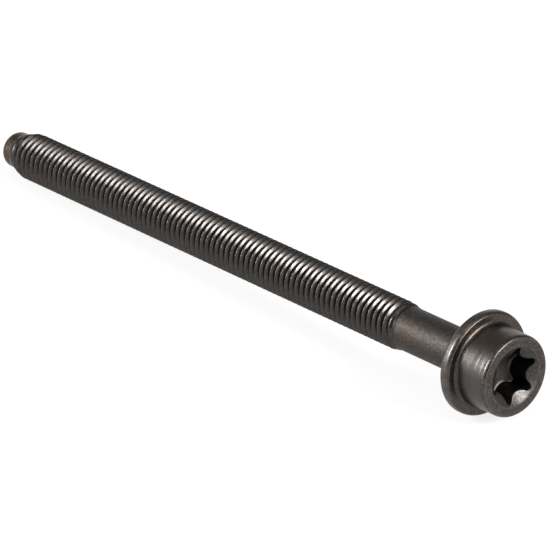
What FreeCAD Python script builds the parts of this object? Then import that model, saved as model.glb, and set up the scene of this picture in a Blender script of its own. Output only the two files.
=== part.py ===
import FreeCAD, Part
import math
import os

# A long engine bolt, forged and rolled from one piece of steel, in millimetres.
# It lies on the ground along X as it comes to rest, with its head towards +X.
# The rim of its flange and the first full turn of its thread touch the ground, so it leans a little.
# The origin is on the ground, under the middle of its length.

# Head, measured up the bolt's axis from the bearing face under the flange
head_height = 10.0          # bearing face to the flat end of the head
head_d = 16.5               # plain round head above the flange
head_corner_r = 1.2         # rounded corner between the head's side and its end
head_corner_width = 0.35    # how far in from the side the flat end starts
head_fillet_r = 0.75        # fillet between the flange and the head's side

# Flange
flange_d = 21.0
flange_height = 2.35        # bearing face to the flange's upper face
rim_upper_r = 1.25          # rounding of the rim above
rim_upper_width = 0.45      # how far in from the rim the upper face starts
rim_lower_r = 0.7           # rounding of the rim below

# Hexalobular socket, size 55, with a wide countersink
lobe_span = 11.35           # across two opposite lobes
waist_span = 8.05           # across two opposite bumps between the lobes
lobe_tip_r = 0.8            # rounding of a lobe's tip
lobe_count = 6
lobe_turn = 46.4            # angle of one lobe round the axis, from the lower side
socket_depth = 5.3          # end of the head to the floor at a lobe's tip
socket_floor_slope = 15.0   # the floor's fall towards the middle, in degrees
mouth_d = 12.4              # countersink at the end of the head
mouth_angle = 120.0         # full angle of the countersink

# Shank and thread
shank_length = 141.5        # bearing face to the end of the pilot
shank_d = 8.8               # plain shank, reduced to about the thread's pitch diameter
neck_fillet_r = 1.0         # fillet between the shank and the bearing face
plain_length = 19.3         # bearing face to the thread's run-out
runout_length = 2.3         # length over which the thread fades out
thread_d = 9.85             # over the crests of an M10 x 1.5 thread
lead_length = 3.6           # length of the tapered first turns
pilot_d = 7.5               # plain pilot at the end
pilot_length = 3.2
pilot_edge_r = 1.9          # rounding of the pilot's end


def point(along, out):
    """A corner of the bolt's section: its place along the axis, and out from it."""
    return FreeCAD.Vector(out, 0, along)


def arc(centre_along, centre_out, radius, first, last):
    """A round stretch of the section, between two angles measured from straight out."""
    spots = []
    for angle in (first, (first + last) / 2, last):
        turn = math.radians(angle)
        spots.append(point(centre_along + radius * math.sin(turn), centre_out + radius * math.cos(turn)))
    return Part.Arc(*spots).toShape()


def closed_wire(items):
    """One closed wire through the corners and round stretches, with straight edges between them."""
    edges = []
    here = items[-1]
    for item in items:
        is_corner = isinstance(item, FreeCAD.Vector)
        start = item if is_corner else item.valueAt(item.FirstParameter)
        if here.distanceToPoint(start) > 1e-6:
            edges.append(Part.makeLine(here, start))
        if not is_corner:
            edges.append(item)
        here = item if is_corner else item.valueAt(item.LastParameter)
    return Part.Wire(edges)


def turned(items):
    """The solid that a half section makes, turned about the bolt's own axis."""
    return Part.Face(closed_wire(items)).revolve(FreeCAD.Vector(0, 0, 0), FreeCAD.Vector(0, 0, 1), 360)


def blank():
    """The bolt without its socket, from the end of the pilot to the end of the head."""
    tip = -shank_length
    pilot_r = pilot_d / 2
    pilot_top = tip + pilot_length
    thread_r = thread_d / 2
    shank_r = shank_d / 2
    rim_r = flange_d / 2
    rim_turn = math.acos(1 - rim_upper_width / rim_upper_r)
    rim_centre = flange_height - rim_upper_r * math.sin(rim_turn)
    head_r = head_d / 2
    corner_turn = math.acos(1 - head_corner_width / head_corner_r)
    corner_centre = head_height - head_corner_r * math.sin(corner_turn)
    return turned([
        point(tip, 0),
        arc(tip + pilot_edge_r, pilot_r - pilot_edge_r, pilot_edge_r, -90, 0),
        point(pilot_top, pilot_r),
        point(pilot_top + lead_length, thread_r),
        point(-plain_length - runout_length, thread_r),
        point(-plain_length, shank_r),
        arc(-neck_fillet_r, shank_r + neck_fillet_r, neck_fillet_r, 180, 90),
        arc(rim_lower_r, rim_r - rim_lower_r, rim_lower_r, -90, 0),
        arc(rim_centre, rim_r - rim_upper_r, rim_upper_r, 0, math.degrees(rim_turn)),
        arc(flange_height + head_fillet_r, head_r + head_fillet_r, head_fillet_r, 270, 180),
        arc(corner_centre, head_r - head_corner_r, head_corner_r, 0, math.degrees(corner_turn)),
        point(head_height, 0),
    ])


def lobe_wire():
    """The outline of the socket: round lobe tips joined by round bumps that meet them smoothly."""
    tip_centre = lobe_span / 2 - lobe_tip_r
    waist_r = waist_span / 2
    half_step = math.pi / lobe_count
    spread = tip_centre * math.cos(half_step)
    bump_r = (tip_centre ** 2 + waist_r ** 2 - 2 * spread * waist_r - lobe_tip_r ** 2) / (
        2 * (spread + lobe_tip_r - waist_r))
    share = lobe_tip_r / (lobe_tip_r + bump_r)

    def at(radius, angle):
        return FreeCAD.Vector(radius * math.cos(angle), radius * math.sin(angle), 0)

    def joint(lobe, side):
        """Where a lobe's tip meets the bump on one side of it."""
        tip = at(tip_centre, lobe)
        return tip + (at(waist_r + bump_r, lobe + side * half_step) - tip) * share

    edges = []
    for index in range(lobe_count):
        lobe = math.radians(lobe_turn) + 2 * half_step * index
        next_lobe = lobe + 2 * half_step
        edges.append(Part.Arc(joint(lobe, -1), at(lobe_span / 2, lobe), joint(lobe, 1)).toShape())
        edges.append(Part.Arc(joint(lobe, 1), at(waist_r, lobe + half_step), joint(next_lobe, -1)).toShape())
    return Part.Wire(edges)


def socket():
    """What the punch leaves in the head: a lobed well with a shallow conical floor, and its countersink."""
    mouth_r = mouth_d / 2
    slope = math.tan(math.radians(socket_floor_slope))
    floor_middle = head_height - socket_depth - lobe_span / 2 * slope
    well = Part.Face(lobe_wire()).extrude(FreeCAD.Vector(0, 0, head_height - floor_middle))
    well.translate(FreeCAD.Vector(0, 0, floor_middle))
    punch_end = turned([
        point(floor_middle, 0),
        point(floor_middle + mouth_r * slope, mouth_r),
        point(head_height, mouth_r),
        point(head_height, 0),
    ])
    countersink = turned([
        point(head_height - mouth_r / math.tan(math.radians(mouth_angle / 2)), 0),
        point(head_height, mouth_r),
        point(head_height, 0),
    ])
    return well.common(punch_end).fuse(countersink)


def lean():
    """The angle at which the bolt lies on the rim of its flange and its first full turn of thread."""
    across = flange_d / 2 - rim_lower_r - thread_d / 2
    along = shank_length - pilot_length - lead_length + rim_lower_r
    return math.acos(-rim_lower_r / math.hypot(across, along)) - math.atan2(along, across)


def laid_down(bolt):
    """The bolt turned onto its side, leaning, with the ground at z = 0 and its middle over the origin."""
    bolt.rotate(FreeCAD.Vector(0, 0, 0), FreeCAD.Vector(0, 1, 0), 90 - math.degrees(lean()))
    box = bolt.optimalBoundingBox(False, False)
    bolt.translate(FreeCAD.Vector(-(box.XMin + box.XMax) / 2, 0, -box.ZMin))
    return bolt


bolt = blank().cut(socket()).Solids[0]
os.makedirs("parts", exist_ok=True)
laid_down(bolt).exportStep("parts/bolt.step")
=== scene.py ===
import math

import bmesh
import bpy
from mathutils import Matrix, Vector, noise


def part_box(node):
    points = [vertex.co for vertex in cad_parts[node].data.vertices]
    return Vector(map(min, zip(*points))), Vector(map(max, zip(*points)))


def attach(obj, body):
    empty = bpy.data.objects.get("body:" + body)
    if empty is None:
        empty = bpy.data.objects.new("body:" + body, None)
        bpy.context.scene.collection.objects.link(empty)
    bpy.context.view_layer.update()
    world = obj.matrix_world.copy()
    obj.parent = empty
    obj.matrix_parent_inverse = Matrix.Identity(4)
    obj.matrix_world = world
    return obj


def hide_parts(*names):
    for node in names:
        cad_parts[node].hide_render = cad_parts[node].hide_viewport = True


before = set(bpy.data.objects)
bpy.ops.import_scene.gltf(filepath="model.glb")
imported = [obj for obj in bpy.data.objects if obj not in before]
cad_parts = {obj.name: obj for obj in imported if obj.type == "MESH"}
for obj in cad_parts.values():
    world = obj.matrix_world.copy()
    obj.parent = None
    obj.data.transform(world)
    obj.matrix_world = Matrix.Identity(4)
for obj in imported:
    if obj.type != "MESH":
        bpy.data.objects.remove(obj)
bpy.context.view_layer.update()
print("frame loaded")

# All shape values are millimetres. "Along" is measured up the bolt's axis from the bearing face
# under the flange, and "out" is measured from the axis.

headShape = {
    "height": 10.0,
    "across": 16.5,
    "cornerRadius": 1.2,      # rounded corner round the flat end
    "cornerWidth": 0.35,      # how far in from the side the flat end starts
    "filletRadius": 0.75,     # between the flange and the head's side
    "columns": 192,           # points round a ring of the head and the shank
}

flangeShape = {
    "across": 21.0,
    "height": 2.35,
    "rimUpperRadius": 1.25,
    "rimUpperWidth": 0.45,    # how far in from the rim the upper face starts
    "rimLowerRadius": 0.7,
}

shankShape = {
    "length": 141.5,          # bearing face to the end of the pilot
    "across": 8.8,
    "neckRadius": 1.0,        # fillet under the flange
    "plainLength": 19.3,      # bearing face to the thread's run-out
    "runOut": 2.3,            # length over which the thread fades out
}


def roundCorner(centreAlong, centreOut, radius, first, last, steps):
    # points on an arc, between two angles measured from straight out
    points = []
    for step in range(steps + 1):
        turn = math.radians(first + (last - first) * step / steps)
        points.append((centreAlong + radius * math.sin(turn), centreOut + radius * math.cos(turn)))
    return points


def outerSection():
    # from the flat end of the head, over the flange, down to the shank's last ring before the thread
    end = headShape["height"]
    side = headShape["across"] / 2
    cornerRadius = headShape["cornerRadius"]
    cornerTurn = math.acos(1 - headShape["cornerWidth"] / cornerRadius)
    sideTop = end - cornerRadius * math.sin(cornerTurn)
    faceEdge = side - headShape["cornerWidth"]
    fillet = headShape["filletRadius"]
    upperFace = flangeShape["height"]
    rim = flangeShape["across"] / 2
    upper = flangeShape["rimUpperRadius"]
    lower = flangeShape["rimLowerRadius"]
    rimTurn = math.acos(1 - flangeShape["rimUpperWidth"] / upper)
    rimCentre = upperFace - upper * math.sin(rimTurn)
    neck = shankShape["neckRadius"]
    shank = shankShape["across"] / 2

    # flat faces have a ring close to each edge, which keeps them flat right up to it
    points = [(end, faceEdge - 0.7), (end, faceEdge - 0.12)]
    points += roundCorner(sideTop, side - cornerRadius, cornerRadius, math.degrees(cornerTurn), 0, 8)
    sideFoot = upperFace + fillet
    for share in (0.08, 0.35, 0.65, 0.92):
        points.append((sideTop + (sideFoot - sideTop) * share, side))
    points += roundCorner(sideFoot, side + fillet, fillet, 180, 270, 6)
    points.append((upperFace, rim - flangeShape["rimUpperWidth"] - 0.1))
    points += roundCorner(rimCentre, rim - upper, upper, math.degrees(rimTurn), 0, 8)
    points += roundCorner(lower, rim - lower, lower, 0, -90, 6)
    points += [(0, rim - lower - 0.3), (0, shank + neck + 0.3)]
    points += roundCorner(-neck, shank + neck, neck, 90, 180, 6)
    for share in (0.1, 0.3, 0.5, 0.7, 0.9):
        points.append((-neck + (neck - shankShape["plainLength"]) * share, shank))
    return points


socketShape = {
    "lobeSpan": 11.35,        # across two opposite lobes
    "waistSpan": 8.05,        # across two opposite bumps between the lobes
    "lobeTipRadius": 0.8,
    "lobes": 6,
    "turn": -43.6,            # degrees, angle of one lobe round the axis
    "depth": 5.3,             # end of the head to the floor at a lobe's tip
    "floorSlope": 15.0,       # degrees
    "footRadius": 0.35,       # where the floor meets the walls
    "lipRadius": 0.15,        # worn edge where the walls meet the countersink
    "mouthAcross": 12.4,      # countersink at the end of the head
    "mouthAngle": 120.0,      # degrees, from side to side of the countersink
}


def lobeReach(angle):
    # how far the socket's wall stands from the axis at this angle
    tipRadius = socketShape["lobeTipRadius"]
    tipCentre = socketShape["lobeSpan"] / 2 - tipRadius
    waist = socketShape["waistSpan"] / 2
    halfStep = math.pi / socketShape["lobes"]
    spread = tipCentre * math.cos(halfStep)
    bumpRadius = (tipCentre ** 2 + waist ** 2 - 2 * spread * waist - tipRadius ** 2) / (
        2 * (spread + tipRadius - waist))
    bumpCentre = waist + bumpRadius
    share = tipRadius / (tipRadius + bumpRadius)
    jointAlong = tipCentre + (bumpCentre * math.cos(halfStep) - tipCentre) * share
    jointAngle = math.atan2(bumpCentre * math.sin(halfStep) * share, jointAlong)
    turn = (angle - math.radians(socketShape["turn"]) + halfStep) % (2 * halfStep) - halfStep
    if abs(turn) < jointAngle:
        return tipCentre * math.cos(turn) + math.sqrt(tipRadius ** 2 - (tipCentre * math.sin(turn)) ** 2)
    turn = halfStep - abs(turn)
    return bumpCentre * math.cos(turn) - math.sqrt(bumpRadius ** 2 - (bumpCentre * math.sin(turn)) ** 2)


def socketFloor(out):
    # the punch leaves a shallow cone, with its lowest point on the axis
    slope = math.tan(math.radians(socketShape["floorSlope"]))
    middle = headShape["height"] - socketShape["depth"] - socketShape["lobeSpan"] / 2 * slope
    return middle + slope * out


def socketSection(angle):
    # from near the middle of the floor, up the wall and the countersink, to the flat end of the head
    end = headShape["height"]
    reach = lobeReach(angle)
    mouth = socketShape["mouthAcross"] / 2
    rise = 1 / math.tan(math.radians(socketShape["mouthAngle"] / 2))
    foot = socketShape["footRadius"]
    lip = socketShape["lipRadius"]

    def countersink(out):
        return end - (mouth - out) * rise

    floor = socketFloor(reach)
    top = countersink(reach)
    points = []
    for share in (0.15, 0.35, 0.55, 0.75, 0.9, 1.0):
        out = (reach - foot) * share
        points.append((socketFloor(out), out))
    points.append((floor + foot * 0.2, reach - foot * 0.4))        # the foot's rounding
    points.append((floor + foot * 0.45, reach - foot * 0.12))
    for share in (0.0, 0.2, 0.4, 0.6, 0.8, 1.0):
        points.append((floor + foot + (top - lip - floor - foot) * share, reach))
    points.append((top - lip * 0.3, reach + lip * 0.12))           # the lip's rounding
    for share in (0.0, 0.25, 0.5, 0.75, 1.0):
        out = reach + lip + (mouth - lip - reach - lip) * share
        points.append((countersink(out), out))
    points.append((end - lip * 0.12, mouth + lip * 0.3))           # the mouth's rounding
    points.append((end, mouth + lip * 1.5))
    return points


threadShape = {
    "across": 9.85,           # M10 x 1.5, right-hand
    "pitch": 1.5,
    "flankAngle": 60.0,       # degrees between two flanks
    "crestFlat": 0.125,       # share of the pitch
    "rootRadius": 0.1443,     # share of the pitch
    "crestEdge": ((0.042, 0.004), (0.088, 0.066)),   # share of the pitch, and depth
    "start": 0.36,            # share of a turn that the thread's start is moved round
    "lead": 3.6,              # tapered first turns
    "blend": 0.12,            # how softly the full thread meets that taper
    "seam": 0.06,             # depth of the uneven seam that rolling leaves along the crest
    "seamEdge": 0.35,         # share of that depth at the crest's edges
    "seamChange": 2.1,        # how quickly the depth changes along the crest
    "columns": 96,            # points round a turn of the thread
}

pilotShape = {
    "across": 7.5,
    "length": 3.2,
    "edgeRadius": 1.9,
}


def pilotTop():
    return pilotShape["length"] - shankShape["length"]


def threadForm():
    # one turn of the thread, as (share of the pitch, depth under the crest), from crest to crest
    pitch = threadShape["pitch"]
    steepness = pitch / math.tan(math.radians(threadShape["flankAngle"] / 2))
    sharpDepth = (0.5 - threadShape["crestFlat"] / 2) * steepness      # where two flanks would meet
    rootRadius = threadShape["rootRadius"] * pitch
    half = list(threadShape["crestEdge"])
    for turn in (60, 30):
        half.append((0.5 - rootRadius * math.sin(math.radians(turn)) / pitch,
                     sharpDepth - 2 * rootRadius + rootRadius * math.cos(math.radians(turn))))
    root = [(0.5, sharpDepth - rootRadius)]
    back = [(1 - share, depth) for share, depth in reversed(half)]
    return [(0.0, 0.0)] + half + root + back


def threadReach(along, depth):
    # the thread fades into the shank at one end and into the taper of its first turns at the other
    crest = threadShape["across"] / 2
    shank = shankShape["across"] / 2
    pilot = pilotShape["across"] / 2
    fade = min(1, max(0, (-shankShape["plainLength"] - along) / shankShape["runOut"]))
    reach = shank + (crest - depth - shank) * fade
    taper = pilot + (crest - pilot) * (along - pilotTop()) / threadShape["lead"]
    blend = threadShape["blend"]
    near = max(0, blend - abs(reach - taper)) / blend
    return min(reach, taper) - near * near * blend / 4


def seamDepth(along, angle):
    # noise read just outside the crest, so that the seam comes and goes along it
    outside = 5.0
    spot = Vector((along, outside * math.cos(angle), outside * math.sin(angle)))
    return threadShape["seam"] * (0.5 + 0.5 * noise.noise(spot * threadShape["seamChange"]))


def pilotSection():
    # from the foot of the thread to the flat end
    side = pilotShape["across"] / 2
    edge = pilotShape["edgeRadius"]
    tip = -shankShape["length"]
    points = [(pilotTop() - drop, side) for drop in (0.0, 0.15, 0.5)]
    points += roundCorner(tip + edge, side - edge, edge, 0, -90, 10)
    points.append((tip, (side - edge) * 0.6))
    return points


def leanAngle():
    # the bolt lies on the rim of its flange and on its first full turn of thread
    rimRadius = flangeShape["rimLowerRadius"]
    across = (flangeShape["across"] - threadShape["across"]) / 2 - rimRadius
    along = shankShape["length"] - pilotShape["length"] - threadShape["lead"] + rimRadius
    return math.acos(-rimRadius / math.hypot(across, along)) - math.atan2(along, across)


lean = leanAngle()
axisWay = Vector((math.cos(lean), 0, math.sin(lean)))
sideWay = Vector((0, 1, 0))
riseWay = Vector((-math.sin(lean), 0, math.cos(lean)))


def bearingCentre():
    # the head's lower edge reaches furthest along X, and the flange's lower rim touches the ground
    rimRadius = flangeShape["rimLowerRadius"]
    faceEdge = headShape["across"] / 2 - headShape["cornerWidth"]
    reach = Vector((headShape["height"], faceEdge)).dot(Vector((axisWay.x, axisWay.z)))
    rimCentre = flangeShape["across"] / 2 - rimRadius
    height = rimRadius + rimCentre * axisWay.x - rimRadius * axisWay.z
    return Vector((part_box("bolt")[1].x * 1000 - reach, 0, height))


bearing = bearingCentre()


def toWorld(along, out, angle):
    # a place on the bolt, in the frame's metres
    spoke = sideWay * math.cos(angle) + riseWay * math.sin(angle)
    return (bearing + axisWay * along + spoke * out) / 1000


def addRing(mesh, places):
    # one point for each place, evenly round the axis
    ring = []
    for column, (along, out) in enumerate(places):
        ring.append(mesh.verts.new(toWorld(along, out, 2 * math.pi * column / len(places))))
    return ring


def addFace(mesh, corners):
    # leaves out corners that fall together
    own = list(dict.fromkeys(corners))
    if len(own) > 2:
        mesh.faces.new(own)


def skinRings(mesh, first, second):
    # joins two rings with faces; the second ring may have half as many points
    count = len(second)
    step = len(first) // count
    for column in range(count):
        after = (column + 1) % count
        here = [first[column * step + extra] for extra in range(step)] + [first[after * step]]
        if step == 1:
            addFace(mesh, [here[0], here[1], second[after], second[column]])
        else:
            addFace(mesh, [here[0], here[1], second[column]])
            addFace(mesh, [here[1], second[after], second[column]])
            addFace(mesh, [here[1], here[2], second[after]])


def closeEnd(mesh, ring, along):
    middle = mesh.verts.new(toWorld(along, 0, 0))
    for column, corner in enumerate(ring):
        addFace(mesh, [corner, ring[(column + 1) % len(ring)], middle])


def addThread(mesh, topRing, bottomRing):
    # the rows follow the helix, so each crest and root is one unbroken line of points
    pitch = threadShape["pitch"]
    columns = threadShape["columns"]
    form = threadForm()
    rowsPerTurn = len(form)
    top = -shankShape["plainLength"]
    bottom = pilotTop()
    rows = (math.ceil((top - bottom) / pitch) + 2) * rowsPerTurn      # with a spare turn at each end
    known = {}

    def makeCorner(row, column):
        turn, place = divmod(row, rowsPerTurn)
        share, depth = form[place]
        along = top - pitch * (turn + share - column / columns + threadShape["start"] - 1)
        if along >= top:
            return topRing[column]
        if along <= bottom:
            return bottomRing[column]
        angle = 2 * math.pi * column / columns
        if place == 0:
            depth += seamDepth(along, angle)
        elif place in (1, rowsPerTurn - 1):
            depth += seamDepth(along, angle) * threadShape["seamEdge"]
        return mesh.verts.new(toWorld(along, threadReach(along, depth), angle))

    def corner(row, column):
        if column == columns:      # once round the bolt is one pitch along it
            row, column = row - rowsPerTurn, 0
        if (row, column) not in known:
            known[row, column] = makeCorner(row, column)
        return known[row, column]

    for row in range(rows):
        for column in range(columns):
            addFace(mesh, [corner(row, column), corner(row + 1, column),
                           corner(row + 1, column + 1), corner(row, column + 1)])


areaPower = 0.7               # how much more a large face counts than a small one


def shadeByArea(data):
    # each point's normal leans to its largest faces, so that flanks and flats stay flat
    data.shade_smooth()
    normals = [Vector() for vertex in data.vertices]
    for face in data.polygons:
        for index in face.vertices:
            normals[index] += face.normal * (face.area * 1e6) ** areaPower
    data.normals_split_custom_set_from_vertices([normal.normalized() for normal in normals])


def buildBolt():
    columns = headShape["columns"]
    threadColumns = threadShape["columns"]
    sections = [socketSection(2 * math.pi * column / columns) for column in range(columns)]
    threadTop = (-shankShape["plainLength"], shankShape["across"] / 2)
    mesh = bmesh.new()
    upper = [addRing(mesh, level) for level in zip(*sections)]
    closeEnd(mesh, upper[0], socketFloor(0))
    upper += [addRing(mesh, [place] * columns) for place in outerSection()]
    upper.append(addRing(mesh, [threadTop] * threadColumns))
    lower = [addRing(mesh, [place] * threadColumns) for place in pilotSection()]
    for stack in (upper, lower):
        for first, second in zip(stack, stack[1:]):
            skinRings(mesh, first, second)
    closeEnd(mesh, lower[-1], -shankShape["length"])
    addThread(mesh, upper[-1], lower[0])
    bmesh.ops.recalc_face_normals(mesh, faces=mesh.faces)
    data = bpy.data.meshes.new("bolt_steel")
    mesh.to_mesh(data)
    mesh.free()
    shadeByArea(data)
    piece = bpy.data.objects.new("bolt_steel", data)
    bpy.context.scene.collection.objects.link(piece)
    return piece


# how strongly each place is worn or coated, or darkened with painted shade, from 0 to 1
zoneShares = {
    "crestsRubbed": 0.25,
    "crestsRolled": 0.5,      # less smooth than the flanks
    # painted shade in the thread's roots
    "rootsPaintedShade": 0.3,
    "socketPaintedShade": 0.2,       # painted shade in the socket, at its mouth, and more towards the floor
    "cornerRubbed": 0.7,      # round the flat end of the head
    "rimRubbed": 0.6,
    "faceBrown": 0.3,
    "socketDull": 0.35,
    "flangeSatin": 0.4,
}

# how far each of them reaches, in millimetres
zoneWidths = {
    "crestRub": 0.1,          # down the thread's flanks
    "crestRoll": 0.12,
    "rollRunIn": 1.5,         # along the first turns under the shank
    "shadeDepth": 0.25,         # under the crests, where the painted shade starts
    "shadeRange": 0.5,
    # how far down the socket the painted shade deepens
    "socketShadeReach": 2.5,
    "cornerRub": 0.2,
    "mouthRub": 0.15,
    "rimRub": 0.3,
    "satinEnd": 0.9,          # under the flat end of the head
    "ridgesFoot": 2.0,        # above the flange, where the turning marks start
    "ridgesRange": 2.0,
    "ridgesEdge": 0.8,
}


def fall(distance, width):
    # one at the place itself, and nothing this far from it
    return 1 - min(1, distance / width)


def zonesAt(along, out):
    # which zones a place on the surface is in, and how much
    zones = dict.fromkeys(("rubbed", "paintedShade", "rolled", "brown", "dull", "ridged", "satin"), 0.0)
    end = headShape["height"]
    side = headShape["across"] / 2
    mouth = socketShape["mouthAcross"] / 2
    fillet = headShape["filletRadius"]
    upperFace = flangeShape["height"]
    threadTop = -shankShape["plainLength"]

    # the pilot, the thread and the plain shank
    if along < pilotTop():
        zones["brown"] = 1.0
    elif along < threadTop + 0.2:
        depth = threadShape["across"] / 2 - out
        runIn = min(1, (threadTop - along) / zoneWidths["rollRunIn"])
        zones["rolled"] = runIn * min(1, zoneShares["crestsRolled"] + depth / zoneWidths["crestRoll"])
        if along > pilotTop() + threadShape["lead"]:
            # painted shade, deeper towards the thread's roots
            paintedShade = min(1, max(0, depth - zoneWidths["shadeDepth"]) / zoneWidths["shadeRange"])
            zones["paintedShade"] = zoneShares["rootsPaintedShade"] * paintedShade
            zones["rubbed"] = zoneShares["crestsRubbed"] * fall(depth, zoneWidths["crestRub"])
    if threadTop - 0.5 < along < -0.3:
        zones["dull"] = 1.0

    # the flange's rim, and the fillet between it and the head
    if 0 < along < upperFace + fillet:
        # painted shade in the crease of the fillet between the flange and the head
        zones["paintedShade"] = fall(math.hypot(along - upperFace, out - side), fillet * 0.9)
        rim = abs(out - flangeShape["across"] / 2)
        zones["rubbed"] = zoneShares["rimRubbed"] * fall(rim, zoneWidths["rimRub"])
    if 0 < along < end - zoneWidths["satinEnd"] and out > mouth + 0.5:
        zones["satin"] = 1.0 if along > upperFace + fillet else zoneShares["flangeSatin"]

    # the socket, and the turning marks on the head outside it
    if along > upperFace and out < mouth - 0.02:
        # painted shade in the socket, darker towards its floor
        zones["paintedShade"] = min(1, zoneShares["socketPaintedShade"] + (end - along) / zoneWidths["socketShadeReach"])
        # duller, and a little more painted shade from the dark tone
        zones["dull"] = zoneShares["socketDull"]
    elif along > upperFace + zoneWidths["ridgesFoot"]:
        rise = min(1, (along - upperFace - zoneWidths["ridgesFoot"]) / zoneWidths["ridgesRange"])
        zones["ridged"] = rise * min(1, max(0, out - mouth - 1) / zoneWidths["ridgesEdge"])

    # the flat end of the head and its two edges
    if along > end - 1.2:
        corner = fall(abs(out - (side - headShape["cornerWidth"])), zoneWidths["cornerRub"])
        lip = fall(abs(out - mouth), zoneWidths["mouthRub"])
        zones["rubbed"] = max(zoneShares["cornerRubbed"] * corner, lip)
    if along > end - 0.05:
        zones["brown"] = zoneShares["faceBrown"]
    return zones


def markZones(data):
    # stores each point's zones in the mesh, for the steel to read
    marks = []
    for vertex in data.vertices:
        place = vertex.co * 1000 - bearing
        along = place.dot(axisWay)
        marks.append(zonesAt(along, (place - axisWay * along).length))
    for name in marks[0]:
        attribute = data.attributes.new(name, "FLOAT", "POINT")
        attribute.data.foreach_set("value", [zones[name] for zones in marks])


def calculate(tree, operation, first, second):
    # a Math node; each value is a number or another node's output
    node = tree.nodes.new("ShaderNodeMath")
    node.operation = operation
    for socket, value in zip(node.inputs, (first, second)):
        if isinstance(value, (int, float)):
            socket.default_value = value
        else:
            tree.links.new(value, socket)
    return node.outputs["Value"]


steelFinish = {
    "colour": (0.061, 0.055, 0.0515, 1),       # dark phosphated steel
    "rolledColour": (0.046, 0.043, 0.041, 1),  # the thread, pressed smooth
    "brownColour": (0.074, 0.054, 0.038, 1),   # stained patches, and the plain pilot
    "paleColour": (0.105, 0.100, 0.097, 1),    # where the phosphate is thin
    "darkMottleAndShadeColour": (0.034, 0.031, 0.030, 1),   # random dark mottles, and painted shade in the thread's roots, the fillet under the head and the socket
    "wornColour": (0.15, 0.143, 0.137, 1),     # rubbed crests and edges, and bright specks
    "edgeTint": (0.8, 0.8, 0.8, 1),            # the coating is less shiny edge on
    "roughness": 0.34,
    "rolledRoughness": 0.28,                   # the rolled thread is smoother
    "dullRoughness": 0.19,                     # added on the shank and in the socket
    "streakLength": 0.12,                      # smaller draws the turning marks out further
    "streakHeight": 7.0,
    "bumpStrength": 0.5,
    "bumpDepth": 0.000022,                     # metres
}

# the noises in the coating; sizes are millimetres
steelClouds = {
    "grain": {"size": 0.35, "detail": 5, "sharpness": 0.6},
    "mottle": {"size": 0.55, "detail": 3, "sharpness": 0.65},
    "blotch": {"size": 1.4, "detail": 4, "sharpness": 0.6},
    "stain": {"size": 6.0, "detail": 6, "sharpness": 0.6},
    "streak": {"size": 1.1, "detail": 1.5, "sharpness": 0.5},    # turning marks round the head
}


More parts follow.
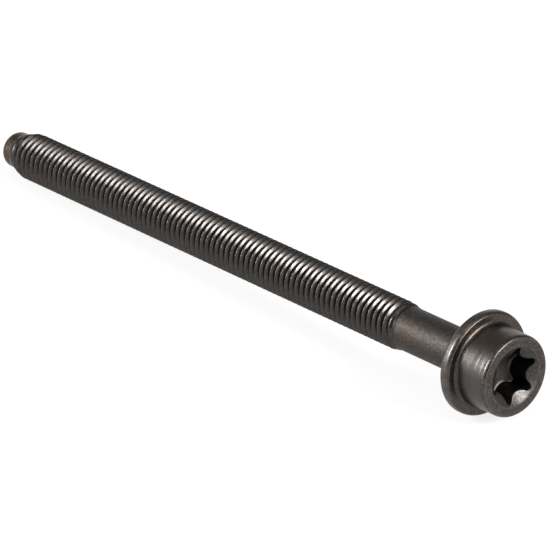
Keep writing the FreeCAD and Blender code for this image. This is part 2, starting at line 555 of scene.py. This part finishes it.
def phosphatedSteel():
    material = bpy.data.materials.new("phosphated_steel")
    material.use_nodes = True
    tree = material.node_tree
    nodes = tree.nodes
    links = tree.links
    shader = nodes["Principled BSDF"]
    shader.inputs["Metallic"].default_value = 1.0
    shader.inputs["Specular Tint"].default_value = steelFinish["edgeTint"]
    place = nodes.new("ShaderNodeTexCoord").outputs["Object"]

    def cloud(name, vector):
        texture = nodes.new("ShaderNodeTexNoise")
        texture.inputs["Scale"].default_value = 1000 / steelClouds[name]["size"]
        texture.inputs["Detail"].default_value = steelClouds[name]["detail"]
        texture.inputs["Roughness"].default_value = steelClouds[name]["sharpness"]
        links.new(vector, texture.inputs["Vector"])
        return texture.outputs["Fac"]

    def rescale(value, low, high, at=(0, 1)):
        # gives low and high where the value is at these two, and what lies between them
        node = nodes.new("ShaderNodeMapRange")
        for name, number in (("From Min", at[0]), ("From Max", at[1]), ("To Min", low), ("To Max", high)):
            node.inputs[name].default_value = number
        links.new(value, node.inputs["Value"])
        return node.outputs["Result"]

    def times(first, second):
        return calculate(tree, "MULTIPLY", first, second)

    def plus(first, second):
        return calculate(tree, "ADD", first, second)

    def tint(below, above, share):
        node = nodes.new("ShaderNodeMix")
        node.data_type = "RGBA"
        links.new(share, node.inputs["Factor"])
        for socket, colour in ((node.inputs["A"], below), (node.inputs["B"], above)):
            if isinstance(colour, tuple):
                socket.default_value = colour
            else:
                links.new(colour, socket)
        return node.outputs["Result"]

    def mark(name):
        node = nodes.new("ShaderNodeAttribute")
        node.attribute_name = name
        return node.outputs["Fac"]

    # turning marks run round the bolt, so their noise is drawn out across its axis
    turned = nodes.new("ShaderNodeMapping")
    turned.inputs["Rotation"].default_value = (0, lean, 0)
    turned.inputs["Scale"].default_value = (1, steelFinish["streakLength"], steelFinish["streakLength"])
    links.new(place, turned.inputs["Vector"])

    grain = cloud("grain", place)
    mottle = cloud("mottle", place)
    blotch = cloud("blotch", place)
    stain = cloud("stain", place)
    streak = cloud("streak", turned.outputs["Vector"])
    rolled = mark("rolled")
    dull = mark("dull")
    satin = mark("satin")
    even = rescale(satin, 1.0, 0.35)                       # a finer look on the head's side
    plain = times(rescale(rolled, 1.0, 0.4), even)         # and less mottled on the thread too

    # each layer covers the ones before it by its share
    layers = (
        ("brownColour", calculate(tree, "MAXIMUM", rescale(stain, 0, 0.8, at=(0.42, 0.66)), mark("brown"))),
        ("rolledColour", times(rolled, 0.8)),
        ("paleColour", times(satin, 0.2)),
        ("paleColour", times(plain, rescale(mottle, 0, 1, at=(0.5, 0.68)))),
        # dark mottles at random
        ("darkMottleAndShadeColour", times(plain, rescale(mottle, 0.6, 0, at=(0.32, 0.48)))),
        # darker on the shank, and more painted shade in the socket
        ("darkMottleAndShadeColour", times(dull, 0.35)),
        # painted shade in the thread's roots, the fillet under the head and the socket
        ("darkMottleAndShadeColour", times(mark("paintedShade"), rescale(blotch, 0.75, 1.0, at=(0.35, 0.65)))),
        ("wornColour", times(mark("rubbed"), rescale(blotch, 0.1, 0.8, at=(0.35, 0.6)))),
        ("wornColour", times(plain, rescale(grain, 0, 0.6, at=(0.62, 0.72)))),
    )
    colour = steelFinish["colour"]
    for name, share in layers:
        colour = tint(colour, steelFinish[name], share)
    links.new(colour, shader.inputs["Base Color"])

    grainy = times(rescale(rolled, 1.0, 0.12), even)
    rough = rescale(rolled, steelFinish["roughness"], steelFinish["rolledRoughness"])
    rough = plus(rough, times(dull, steelFinish["dullRoughness"]))
    rough = plus(rough, times(grainy, rescale(grain, -0.08, 0.08, at=(0.3, 0.7))))
    rough = plus(rough, rescale(stain, -0.02, 0.02, at=(0.35, 0.65)))
    links.new(rough, shader.inputs["Roughness"])

    height = times(grain, plus(rescale(satin, 1.0, 0.25), times(dull, 0.5)))
    height = plus(height, times(streak, rescale(mark("ridged"), 0.8, steelFinish["streakHeight"])))
    height = plus(height, times(blotch, rescale(satin, 0.8, 0.4)))
    height = times(height, rescale(rolled, 1.0, 0.01))     # the rolled thread has next to no bumps
    bump = nodes.new("ShaderNodeBump")
    bump.inputs["Strength"].default_value = steelFinish["bumpStrength"]
    bump.inputs["Distance"].default_value = steelFinish["bumpDepth"]
    links.new(height, bump.inputs["Height"])
    links.new(bump.outputs["Normal"], shader.inputs["Normal"])
    return material


bolt = buildBolt()
markZones(bolt.data)
bolt.data.materials.append(phosphatedSteel())
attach(bolt, "root")
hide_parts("bolt")
print("bolt built, triangles:", sum(len(face.vertices) - 2 for face in bolt.data.polygons))


floorLook = {
    "radius": 5.0,            # metres
    "edgeWidth": 0.25,        # its edge turns up like a studio sweep, so that the lowest views end on it
    "edgeRise": 0.4,
    "corners": 48,
    "glow": 0.82,             # what the camera and reflections see before any lamp
    "colour": 0.15,
}


def whitePaper():
    material = bpy.data.materials.new("white_paper")
    material.use_nodes = True
    tree = material.node_tree
    nodes = tree.nodes
    nodes.remove(nodes["Principled BSDF"])
    rays = nodes.new("ShaderNodeLightPath").outputs
    seen = calculate(tree, "MAXIMUM", rays["Is Camera Ray"], rays["Is Glossy Ray"])
    seen = calculate(tree, "MAXIMUM", seen, rays["Is Transmission Ray"])
    glow = nodes.new("ShaderNodeEmission")
    tree.links.new(calculate(tree, "MULTIPLY", seen, floorLook["glow"]), glow.inputs["Strength"])
    paper = nodes.new("ShaderNodeBsdfDiffuse")
    paper.inputs["Color"].default_value = (floorLook["colour"],) * 3 + (1,)
    both = nodes.new("ShaderNodeAddShader")
    tree.links.new(glow.outputs["Emission"], both.inputs[0])
    tree.links.new(paper.outputs["BSDF"], both.inputs[1])
    tree.links.new(both.outputs["Shader"], nodes["Material Output"].inputs["Surface"])
    return material


def addFloor():
    mesh = bmesh.new()

    def floorRing(reach, rise):
        angles = [2 * math.pi * corner / floorLook["corners"] for corner in range(floorLook["corners"])]
        return [mesh.verts.new((reach * math.cos(angle), reach * math.sin(angle), rise)) for angle in angles]

    flat = floorRing(floorLook["radius"], 0)
    edge = floorRing(floorLook["radius"] + floorLook["edgeWidth"], floorLook["edgeRise"])
    mesh.faces.new(flat)
    skinRings(mesh, edge, flat)
    data = bpy.data.meshes.new("paper_floor")
    mesh.to_mesh(data)
    mesh.free()
    data.materials.append(whitePaper())
    floor = bpy.data.objects.new("paper_floor", data)
    bpy.context.scene.collection.objects.link(floor)


worldLevel = 0.36             # dim, as in a studio whose lamps do the work


def lightWorld():
    world = bpy.data.worlds.new("studio")
    bpy.context.scene.world = world
    world.use_nodes = True
    background = world.node_tree.nodes["Background"]
    background.inputs["Color"].default_value = (1, 1, 1, 1)
    background.inputs["Strength"].default_value = worldLevel


# soft panels round the bolt; azimuth runs from +X towards +Y, and sizes are in metres
lamps = {
    "headEndPanel": {"azimuth": 12, "elevation": 29, "wide": 0.62, "tall": 0.3, "brightness": 54},
    "frontPanel": {"azimuth": 243, "elevation": 29, "wide": 0.36, "tall": 0.65, "brightness": 42},
    "topPanel": {"azimuth": 330, "elevation": 72, "wide": 0.7, "tall": 0.7, "brightness": 2},
    "rightPanel": {"azimuth": 24, "elevation": 43, "wide": 1.1, "tall": 0.45, "brightness": 3.5},
    "tipEndPanel": {"azimuth": 190, "elevation": 20, "wide": 0.7, "tall": 0.5, "brightness": 1.2},
    "backPanel": {"azimuth": 138, "elevation": 14, "wide": 1.4, "tall": 0.45, "brightness": 1.15},
    "lowFrontPanel": {"azimuth": 232, "elevation": 7, "wide": 1.2, "tall": 0.3, "brightness": 1.5},
    "lowHeadPanel": {"azimuth": 350, "elevation": 10, "wide": 1.0, "tall": 0.5, "brightness": 1.2},
}
lampDistance = 1.5            # metres from the middle of the bolt


def addLamps():
    for name, values in lamps.items():
        data = bpy.data.lights.new(name, "AREA")
        data.shape = "RECTANGLE"
        data.size = values["wide"]
        data.size_y = values["tall"]
        data.energy = math.pi * values["wide"] * values["tall"] * values["brightness"]
        lamp = bpy.data.objects.new(name, data)
        azimuth = math.radians(values["azimuth"])
        elevation = math.radians(values["elevation"])
        way = Vector((math.cos(azimuth) * math.cos(elevation),
                      math.sin(azimuth) * math.cos(elevation), math.sin(elevation)))
        lamp.location = way * lampDistance
        lamp.rotation_euler = (-way).to_track_quat("-Z", "Y").to_euler()
        bpy.context.scene.collection.objects.link(lamp)


cameraPlace = {
    "azimuth": 48.73,         # degrees, as seen in the photograph
    "elevation": 26.887,
    "location": (0.7424943, -0.64581, 0.5027),
    "lens": 363.285,          # millimetres
    "sensor": 36,             # millimetres across
}


def addCamera():
    data = bpy.data.cameras.new("camera")
    data.lens = cameraPlace["lens"]
    data.sensor_width = cameraPlace["sensor"]
    camera = bpy.data.objects.new("camera", data)
    azimuth = math.radians(cameraPlace["azimuth"])
    elevation = math.radians(cameraPlace["elevation"])
    back = Vector((math.sin(azimuth) * math.cos(elevation),
                   -math.cos(azimuth) * math.cos(elevation), math.sin(elevation)))
    camera.location = cameraPlace["location"]
    camera.rotation_euler = (-back).to_track_quat("-Z", "Y").to_euler()
    bpy.context.scene.collection.objects.link(camera)
    bpy.context.scene.camera = camera


addFloor()
print("floor laid")
lightWorld()
addLamps()
print("lamps set:", len(lamps))
addCamera()
bpy.context.scene.view_settings.view_transform = "Standard"
print("camera set")
